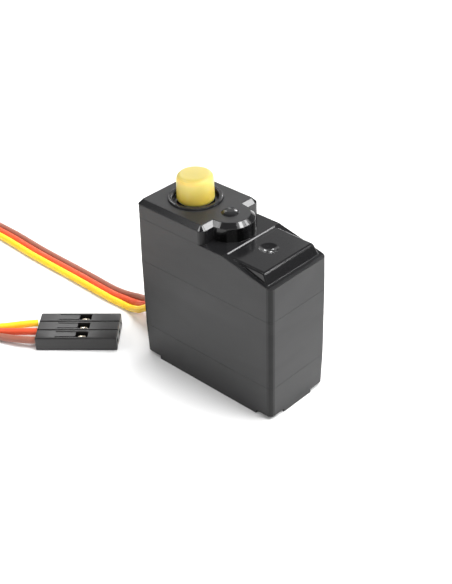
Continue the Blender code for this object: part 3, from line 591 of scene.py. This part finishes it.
def plug_body():
    """The housing: a rounded bar with three ways, latch windows and grooves cut into it."""
    half_l, half_w = PLUG_LENGTH / 2, PLUG_WIDTH / 2
    bm = bmesh.new()
    block(bm, (-half_l, half_l), (-half_w, half_w), (0, PLUG_HEIGHT), PLUG_ROUND, 3)
    body = to_object("plug_body", bm, PLUG_FRAME)
    boxes = []
    for way in (-1, 0, 1):
        y = way * PLUG_PITCH
        boxes += [
            ((-half_l - OUT, half_l - 0.5), (y - 0.95, y + 0.95), (0.42, 2.0)),      # contact's room
            ((half_l - OUT, half_l + OUT), (y - 0.55, y + 0.55), (0.75, 1.75)),      # pin's hole
            ((-0.1, 2.0), (y - 0.8, y + 0.8), (1.5, 4.0)),                           # latch window
            ((-3.6, 0.3), (y - 0.8, y - 0.62), (1.5, 4.0)),                          # latch's sides
            ((-3.6, 0.3), (y + 0.62, y + 0.8), (1.5, 4.0)),
        ]
    for y in (-PLUG_PITCH / 2, PLUG_PITCH / 2):
        for z in (PLUG_HEIGHT, 0.0):
            boxes.append(((-half_l - OUT, half_l + OUT), (y - GROOVE, y + GROOVE), (z - GROOVE, z + GROOVE)))
    cutters = []
    for ranges in boxes:
        bm = bmesh.new()
        block(bm, *ranges)
        cutters.append(to_object("cutter", bm, PLUG_FRAME))
    return carved(body, cutters)


def contact_body(y):
    """One crimp contact: its box, the latch bump on top and the two crimp ears."""
    bm = bmesh.new()
    block(bm, (-4.4, 6.3), (y - 0.5, y + 0.5), (0.7, 1.62), 0.12)
    block(bm, (0.25, 1.55), (y - 0.42, y + 0.42), (1.5, 2.12), 0.16)
    block(bm, (-5.9, -3.9), (y - 0.62, y - 0.42), (0.75, 1.7), 0.08)
    block(bm, (-5.9, -3.9), (y + 0.42, y + 0.62), (0.75, 1.7), 0.08)
    bmesh.ops.recalc_face_normals(bm, faces=bm.faces)
    bm.transform(Matrix.Scale(MM, 4) @ PLUG_FRAME)
    return bm


def add_plug():
    shell = add_mesh("plug_shell", plug_body(), "plug_black")
    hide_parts("plug_housing")
    for way in (-1, 0, 1):
        contact = add_mesh(f"contact_{way + 2}", contact_body(way * PLUG_PITCH), "contact_metal")
        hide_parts(f"plug_contact_{way + 2}")


add_plug()

# ------------------------------------------------------------------ cores
for colour, side in (("brown", -1), ("red", 0), ("yellow", 1)):
    points = wire_path(side)
    wire = tube(f"core_{colour}", points, WIRE_R, f"wire_{colour}")
    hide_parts(f"lead_wire_{colour}")


# ------------------------------------------------------------------ floor and light, in metres
FLOOR_HALF = 3.0
FLOOR_GREYS = (0.86, 0.88)
BOX_DISTANCE = 0.9
LIT_POINT = Vector((0, 0, 0.025))
WORLD_LEVEL = 0.16


def add_floor():
    bm = bmesh.new()
    bmesh.ops.create_grid(bm, x_segments=1, y_segments=1, size=FLOOR_HALF)
    mesh = bpy.data.meshes.new("floor")
    bm.to_mesh(mesh)
    bm.free()
    floor = bpy.data.objects.new("floor", mesh)
    bpy.context.scene.collection.objects.link(floor)
    m = Nodes("floor")
    darker, lighter = ((grey, grey, grey, 1) for grey in FLOOR_GREYS)
    m.finish(Base_Color=m.mix(m.noise(9, 2), darker, lighter), Roughness=0.7)
    mesh.materials.append(m.mat)


def softbox(name, azimuth, elevation, half_width, half_height, radiance, mirrored=True):
    """A rectangular light facing the servo, placed and sized by angles seen from it, in degrees."""
    az, el = math.radians(azimuth), math.radians(elevation)
    way = Vector((math.cos(az) * math.cos(el), math.sin(az) * math.cos(el), math.sin(el)))
    data = bpy.data.lights.new(name, "AREA")
    data.shape = "RECTANGLE"
    data.size = 2 * BOX_DISTANCE * math.tan(math.radians(half_width))
    data.size_y = 2 * BOX_DISTANCE * math.tan(math.radians(half_height))
    data.energy = radiance * math.pi * data.size * data.size_y
    lamp = bpy.data.objects.new(name, data)
    lamp.location = LIT_POINT + way * BOX_DISTANCE
    lamp.rotation_euler = way.to_track_quat("Z", "Y").to_euler()
    lamp.visible_glossy = mirrored
    bpy.context.scene.collection.objects.link(lamp)


def add_world(level):
    world = bpy.data.worlds.new("studio")
    bpy.context.scene.world = world
    world.use_nodes = True
    world.node_tree.nodes["Background"].inputs["Color"].default_value = (1, 1, 1, 1)
    world.node_tree.nodes["Background"].inputs["Strength"].default_value = level


SOFTBOXES = [
    # name, azimuth, elevation, half width, half height, radiance, seen in reflections
    ("overhead", 62, 76, 18, 18, 10.0, False),
    ("front_fill", -42, 36, 20, 13, 2.1, True),
    ("right_box", 18, 50, 10, 5, 24.0, True),
    ("corner_box", 52, 40, 7, 6, 17.0, True),
    ("left_box", 242, 44, 10, 5, 9.0, True),
    ("left_strip", 228, 38, 7.5, 6, 1.3, True),
    ("back_right", 107, 24, 17, 14, 1.3, True),
    ("back_gap", 134, 30, 8, 14, 0.4, True),
    ("back_left", 157, 26, 10, 15, 1.4, True),
    ("window_right", 118, 26, 2.5, 3.5, 16.0, True),
    ("window_left", 147, 35, 2.5, 3, 16.0, True),
    ("window_low", 134, 13, 3, 2.5, 14.0, True),
]

add_floor()
add_world(WORLD_LEVEL)
for row in SOFTBOXES:
    softbox(*row)

bpy.context.scene.view_settings.view_transform = "Standard"
bpy.context.scene.view_settings.look = "None"

# ------------------------------------------------------------------ close
bpy.context.view_layer.update()
